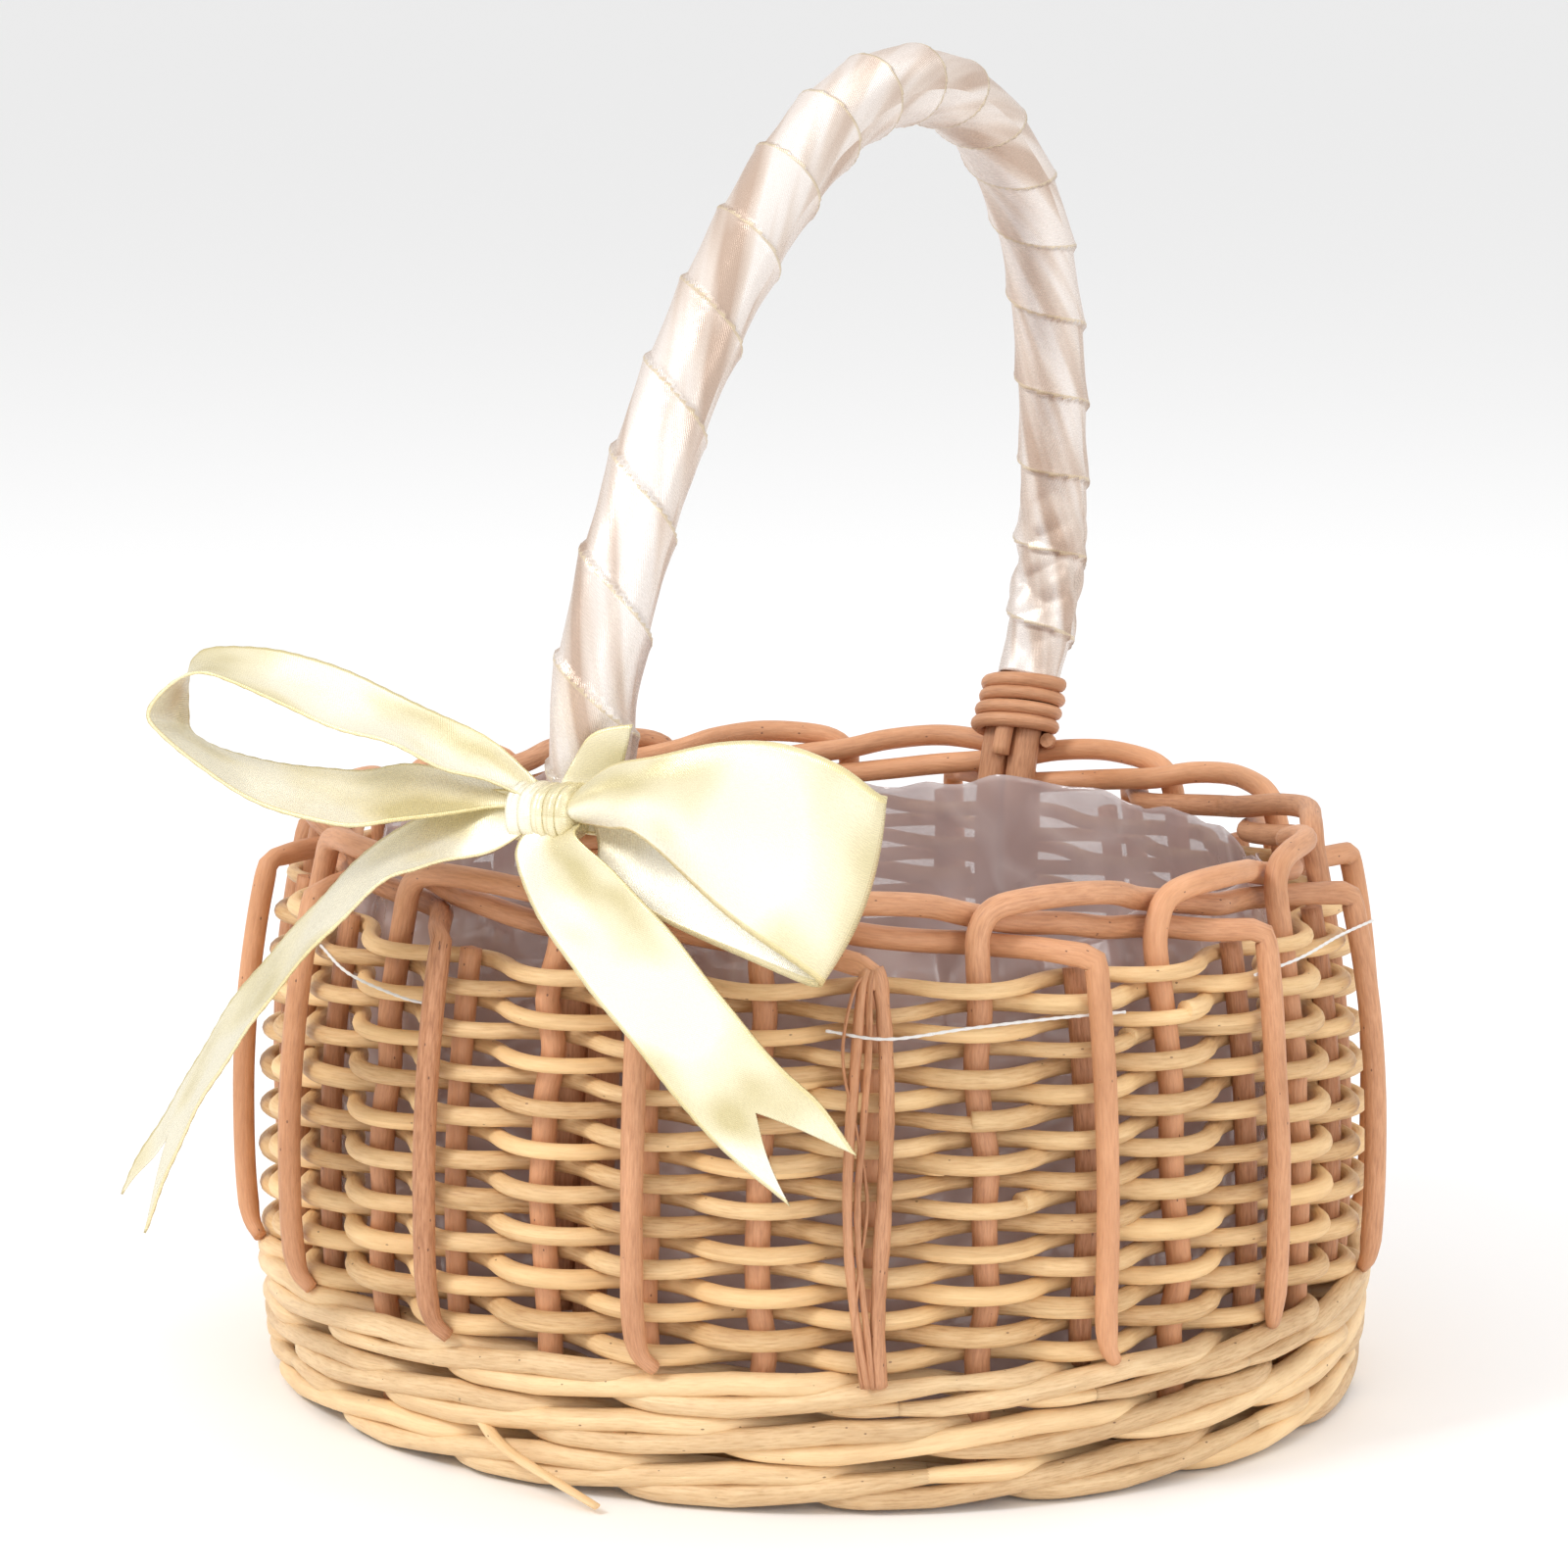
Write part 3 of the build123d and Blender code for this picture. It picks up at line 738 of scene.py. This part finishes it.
def ribbon(name, edges, turn, notch=0.0, ripple=0.0, seed=0, crown=0.0):
    """A strip of satin between two edges, each given as (right, up, forward) from the knot.

    turn swings those directions about the upright through the knot. notch is the depth of the
    swallowtail at the end, ripple the size of the waves, and crown how far the middle bulges.
    Returns the piece and its length.
    """
    rng = np.random.default_rng(500 + seed)
    near, far_edge = (bow_points(edge, turn) for edge in zip(*edges))
    both = through(np.concatenate([(near + far_edge) / 2, (far_edge - near) / 2], 1), 1.0)
    line, wide = both[:, :3], both[:, 3:]
    tangents = unit(np.gradient(line, axis=0))
    face = unit(np.cross(tangents, wide))
    far = np.concatenate([[0], np.cumsum(np.linalg.norm(np.diff(line, axis=0), axis=1))])
    total = far[-1]
    columns, row_pitch, selvedge = 25, 0.9, 0.93
    s = np.linspace(-1, 1, columns)
    rows = int(total / row_pitch)
    reach = total - notch * (1 - np.abs(s))
    share = np.linspace(0, 1, rows)[:, None] * (reach / total)[None, :]
    index = share * (len(line) - 1)

    def at(values):
        """Values along the strip's line, read at each point of the mesh."""
        low = np.clip(index.astype(int), 0, len(line) - 2)
        part = (index - low)[..., None]
        return values[low] * (1 - part) + values[low + 1] * part

    wave = ripple * np.sin(share * total / 6.0 + 1.7 * s[None, :] + seed) * (0.4 + 0.6 * np.abs(s[None, :]))
    wave = wave + crown * (1 - s[None, :] ** 2)
    wave = wave + ripple * 0.5 * np.sin(share * total / 2.9 + 2.5 * seed + 3 * s[None, :])
    points = at(line) + at(wide) * s[None, :, None] + at(face) * wave[..., None]
    thick = 0.16 + 0.14 * (np.abs(s) > selvedge)
    picot = 0.06 * np.sin(share * total * 5.0) * (np.abs(s[None, :]) > selvedge)
    lift = (thick[None, :] + picot)[..., None] * at(face)
    front, back = points + lift, points - lift
    shell = np.concatenate([front, back[:, ::-1]], 1)
    u = share * total * UV_PER_MM
    v = np.broadcast_to(s[None, :], share.shape)
    uu = np.concatenate([u, u[:, ::-1], u[:, :1]], 1)
    vv = np.concatenate([v, v[:, ::-1], v[:, :1]], 1)
    pile = Pile()
    pile.grid(shell, np.stack([uu, vv], -1), rng.uniform(0.3, 0.7), True)
    for row, flip in ((0, False), (rows - 1, True)):  # the strip's two ends
        cap = np.stack([front[row], back[row]], 0)
        cap_uv = np.stack([np.stack([u[row], v[row]], -1)] * 2, 0)
        pile.grid(cap if flip else cap[::-1], cap_uv, 0.5, False)
    piece = pile.finish(name, BOW_SATIN)
    weld = piece.modifiers.new("weld", "WELD")
    weld.merge_threshold = 0.00001
    return piece, total


def bow_points(points, turn):
    """Places given as (right, up, forward) from the knot, turned about the upright through it."""
    angle = math.radians(turn)
    right = np.array([math.cos(angle), math.sin(angle), 0.0])
    ahead = np.array([math.sin(angle), -math.cos(angle), 0.0])
    return np.array([KNOT + right * a + UP * b + ahead * c for a, b, c in points])


# The two edges of each strip, as pairs of (right, up, forward) from the knot
LEFT_LOOP = [
    ((-3, 2, 4), (-4, 5, 0)), ((-11, 6, 6), (-13, 11, -3)), ((-19, 8, 8), (-24, 15, -6)),
    ((-28, 12, 9), (-34, 19, -7)), ((-40, 15, 9), (-48, 24, -7)), ((-58, 22, 9), (-66, 26, -7)),
    ((-67, 23, 9), (-73, 23, -7)), ((-75, 17, 9), (-74, 13, -7)), ((-73, 12, 9), (-72, 9, -7)),
    ((-58, 2, 9), (-60, 5, -7)), ((-40, -3, 9), (-42, 4, -7)), ((-28, -2, 8), (-30, 6, -6)),
    ((-11, 1, 5), (-12, 4, -1)), ((-3, 0, 4), (-4, 3, 0)),
]
RIGHT_LOOP = [
    ((6, -1, 4), (5, 4, 4)), ((14, -1, 7), (13, 10, 5)), ((21, -1, 10), (24, 13, 8)),
    ((33, -8, 13), (38, 17, 11)), ((43, -14, 15), (50, 18, 13)), ((52, -19, 15), (61, 15, 12)),
    ((57, -23, 13), (67, 10, 9)), ((57, -25, 10), (67, 9, 6)), ((53, -25, 9), (62, 8, 4)),
    ((43, -22, 9), (51, 7, 3)), ((32, -19, 8), (37, 6, 2)), ((21, -15, 7), (21, 5, 2)),
    ((10, -8, 5), (6, 2, 2)),
]
LEFT_TAIL = [
    ((-3, -2, 4), (-4, 3, 2)), ((-11, -7, 7), (-14, 3, 1)), ((-23, -10, 9), (-31, -5, -5)),
    ((-32, -14, 10), (-41, -13, -7)), ((-48, -31, 10), (-56, -28, -7)), ((-60, -46, 10), (-69, -45, -7)),
    ((-72, -67, 9), (-82, -66, -6)), ((-79, -82, 8), (-89, -79, -6)),
]
RIGHT_TAIL = [
    ((-2, -2, 5), (7, -1, 5)), ((-5, -7, 7), (8, -3, 8)), ((0, -15, 11), (18, -8, 12)),
    ((10, -25, 14), (30, -17, 15)), ((31, -45, 17), (51, -37, 17)), ((41, -54, 17), (60, -45, 16)),
    ((54, -63, 17), (66, -53, 15)),
]
LOOSE_END = [
    ((-1, 2, 1), (1, 8, -3)), ((3, -3, 0), (4, 13, -4)), ((7, -4, 0), (8, 15, -4)),
    ((14, -3, 0), (13, 16, -4)),
]


def bow():
    """Two loops, two tails and a loose end, from one satin ribbon; each is given by its two edges."""
    return {
        "loose_end": ribbon("loose_end", LOOSE_END, 4, notch=2, ripple=0.3, seed=5),
        "left_loop": ribbon("left_loop", LEFT_LOOP, 14, ripple=0.2, seed=1, crown=0.6),
        "right_loop": ribbon("right_loop", RIGHT_LOOP, 4, ripple=0.25, seed=2, crown=2.6),
        "left_tail": ribbon("left_tail", LEFT_TAIL, 14, notch=17, ripple=0.3, seed=3),
        "right_tail": ribbon("right_tail", RIGHT_TAIL, 4, notch=17, ripple=0.3, seed=4),
    }


def knot():
    """The ribbon pulled tight round the middle of the bow."""
    pile = Pile()
    half, rows = 6.4, 49
    closing = (0.01, 0.4, 0.8)  # sizes of the rings that shut each end
    ends = [half] * len(closing)
    across = np.concatenate([np.negative(ends), np.linspace(-half, half, rows), ends])
    shut = np.concatenate([closing, np.ones(rows), closing[::-1]])
    angle = np.linspace(0, 2 * np.pi, 64, endpoint=False)
    x, a = np.meshgrid(across, angle, indexing="ij")
    edge = np.clip((half - np.abs(x)) / 1.2, 0, 1) ** 0.5
    fold = 0.30 * np.sin(x * 2.3 + 0.6 * np.sin(a)) + 0.18 * np.sin(x * 4.9 + 1.0 + np.cos(a))
    waist = 1 - 0.10 * np.exp(-((x / 3.4) ** 2))
    height = (4.7 * waist + fold * 0.8) * (0.55 + 0.45 * edge)
    depth = (5.6 * waist + fold * 0.8) * (0.55 + 0.45 * edge)
    y = -np.sign(np.cos(a)) * np.abs(np.cos(a)) ** 0.8 * depth * shut[:, None]
    z = np.sign(np.sin(a)) * np.abs(np.sin(a)) ** 0.8 * height * shut[:, None] + 0.05 * x
    points = KNOT + np.stack([x - 1.0, y - 1.5, z], -1)
    coords = np.stack(np.meshgrid(across * UV_PER_MM, np.linspace(0, 3.2, len(angle) + 1), indexing="ij"), -1)
    pile.grid(points, coords[..., ::-1], 0.5, True)
    piece = pile.finish("knot", BOW_SATIN)
    thick = piece.modifiers.new("cloth", "SOLIDIFY")
    thick.thickness, thick.offset = 0.0006, -1
    return piece


# ---------------------------------------------------------------- liner and thread


def liner():
    """The film bag: it follows the wall, creased, with a wavy top edge."""
    rows, floor_rows, columns = 70, 16, 240
    wall_foot, floor_height, usual_top = 9.6, 9.4, 103.0
    places = np.linspace(0, PLACES, columns, endpoint=False)
    share = np.linspace(0, 1, rows)[:, None]
    top = usual_top + 2.0 * np.sin(places * 0.9 + 0.5)
    top = top + 1.3 * np.sin(places * 2.1) + 0.8 * np.sin(places * 5.3)
    height = wall_foot + (top[None, :] - wall_foot) * share
    # It passes inside the hoop's two legs, at places 0 and 16
    leg = np.exp(-(((places + 2) % PLACES - 2) / 0.9) ** 2) + np.exp(-((places - 16) / 0.9) ** 2)
    inset = -7.6 - 9.5 * leg[None, :] - 1.5 * share
    fold = 0.9 * np.sin(places * 1.7 + 4 * share) + 0.7 * np.sin(places * 3.9 - 7 * share)
    fold = fold + 0.35 * np.sin(places * 9 + 9 * share)
    inset = inset - 0.9 - np.abs(fold) * (0.5 + share)
    round_foot = 12 * np.clip(1 - share / 0.12, 0, 1) ** 2
    wall = wall_points(np.broadcast_to(places, height.shape), bulge(height) + inset - round_foot, height)
    centre = np.array([0, 0, floor_height])
    shares = np.linspace(0.0005, 1, floor_rows, endpoint=False)[:, None, None]
    floor = centre + (wall[0][None] - centre) * shares
    floor[..., 2] = floor_height + 0.25 * np.sin(floor[..., 0] * 0.35) * np.sin(floor[..., 1] * 0.28)
    points = np.concatenate([floor, wall])
    up_share, round_share = np.linspace(0, 10, len(points)), np.linspace(0, 60, columns + 1)
    pile = Pile()
    pile.grid(points, np.stack(np.meshgrid(up_share, round_share, indexing="ij"), -1), 0.5, True)
    piece = pile.finish("film_bag", LINER_FILM)
    thick = piece.modifiers.new("film", "SOLIDIFY")
    thick.thickness, thick.offset = 0.0003, 1
    return piece


def thread():
    """Stitches that show outside the weave, each given by (place, height, distance off the weave)."""
    pile = Pile()
    lane = SIDE_LANE + 2.2
    stitches = [
        [(-2.9, 93.0, 0), (-2.2, 90.5, 1.6), (-1.5, 88.6, 0.8), (-1.12, 88.2, 0.2)],
        [(2.6, 90.0, 0.6), (3.1, 89.6, 5.4), (3.8, 90.3, 2.0), (4.6, 90.9, 1.0), (5.3, 90.6, 0.4)],
        [(6.9, 93.0, 0.2), (7.6, 94.0, 1.2), (8.4, 95.2, 2.0), (9.1, 95.6, 5.0)],
    ]
    for stitch in stitches:
        corners = [wall_points(p, bulge(h) + lane + out, h) for p, h, out in stitch]
        line = through(corners, 0.5)
        pile.tube(line, 0.28 + 0.05 * np.sin(np.arange(len(line)) * 1.3), 0.5, sides=8)
    return pile.finish("stitches", THREAD)


# ---------------------------------------------------------------- base


def base_mat():
    """The woven base: oval rounds of rod that pass over and under the base sticks."""
    pile = Pile()
    rounds, crossings = 21, 14
    first_reach, clear_of_wall = 14, 13.0
    middle, swing, rod_size = 4.0, 1.75, 1.95
    for turn in range(rounds):
        rng = np.random.default_rng(700 + turn)
        share = (turn + 1) / rounds
        reach = first_reach + (HALF_DEPTH - clear_of_wall - first_reach) * share
        wide = reach + (HALF_WIDTH - HALF_DEPTH) * share
        count = max(90, int(reach * 6))
        angle = np.linspace(0, 2 * np.pi, count + 1)[:-1]
        angle = np.concatenate([angle, angle[:2] + 2 * np.pi])
        wave = np.cos(angle * crossings / 2 + np.pi * turn)
        line = np.stack([wide * np.cos(angle), reach * np.sin(angle), middle + swing * wave], -1)
        radius = rod_size * (1 + wander(rng, angle / 7, 9, 0.03))
        pile.tube(line, radius, rng.uniform(0, 1), sides=10)
    return pile.finish("base_rounds", FOOT_WILLOW)


# ---------------------------------------------------------------- build


def stand_in(piece, slot, *nodes):
    """Puts a piece in place of CAD nodes by hiding those nodes."""
    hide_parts(*nodes)


for row in range(SIDE_ROWS):
    stand_in(side_row(row), "white_willow", f"side_weaver_{row + 1:02d}")
stand_in(foot_wale(), "white_willow", *[f"foot_weaver_{n}" for n in range(1, 6)])
for number in range(PLACES // 2):
    stand_in(stake(number), "buff_willow", f"main_stake_{number + 1:02d}")
stand_in(by_stakes(), "buff_willow", "by_stakes")
for piece, node in zip(hoop_rods(), ("hoop_rod_left", "hoop_rod_right")):
    stand_in(piece, "buff_willow", node)
stand_in(packing(), "buff_willow", "packing_rods")
stand_in(binding("near_binding", far=False), "buff_willow", "binding_near")
stand_in(binding("far_binding", far=True), "buff_willow", "binding_far")
winding = satin_wrap()
stand_in(winding, "wrap_satin", "satin_wrap")
bow_pieces = bow()
for name, (piece, length) in bow_pieces.items():
    if name != "loose_end":  # the CAD has no loose end
        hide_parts(f"bow_{name}")
stand_in(knot(), "bow_satin", "bow_knot")
bag = liner()
stand_in(bag, "liner_film", "liner")
stand_in(thread(), "thread", "liner_thread")
stand_in(base_mat(), "white_willow", "base_weave")
# The base sticks keep their CAD shape
for node in ("base_long_sticks", "base_cross_sticks"):
    for material_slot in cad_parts[node].material_slots:
        material_slot.material = BUFF_WILLOW


# ---------------------------------------------------------------- stage, light, camera


# The camera, in metres, placed by matching the photo
EYE, AIM = Vector((0.48654, -0.86523, 0.29565)), Vector((-0.0046, -0.0027, 0.1158))
LENS, SENSOR = 117.6, 36.0


def stage():
    """A plain pale floor, soft lights and the camera."""
    scene = bpy.context.scene
    bpy.ops.mesh.primitive_plane_add(size=200, location=(0, 0, 0))
    floor = bpy.context.object
    floor.name = "floor"
    s = Shader("floor")
    s.use(Base_Color=(0.97, 0.97, 0.97, 1.0), Roughness=0.9)
    floor.data.materials.append(s.material)
    world = bpy.data.worlds.new("studio")
    world.use_nodes = True
    nodes = world.node_tree.nodes
    nodes["Background"].inputs["Color"].default_value = (1.0, 1.0, 1.0, 1.0)
    nodes["Background"].inputs["Strength"].default_value = 0.86
    scene.world = world
    scene.view_settings.view_transform = "Standard"
    lamps = [
        ("key", (-0.55, -1.15, 1.25), 0.45, 12.0),
        ("fill", (1.3, -0.7, 0.6), 0.5, 4.0),
        ("top", (0.2, 0.5, 1.4), 0.8, 4.0),
    ]
    for name, place, size, power in lamps:
        lamp = bpy.data.lights.new(name, "AREA")
        lamp.size, lamp.energy = size, power
        holder = bpy.data.objects.new(name, lamp)
        holder.location = place
        holder.rotation_euler = (Vector((0, 0, 0.1)) - Vector(place)).to_track_quat("-Z", "Y").to_euler()
        scene.collection.objects.link(holder)
    camera = bpy.data.cameras.new("camera")
    camera.lens, camera.sensor_width = LENS, SENSOR
    holder = bpy.data.objects.new("camera", camera)
    holder.location = EYE
    holder.rotation_euler = (AIM - EYE).to_track_quat("-Z", "Y").to_euler()
    scene.collection.objects.link(holder)
    scene.camera = holder


stage()
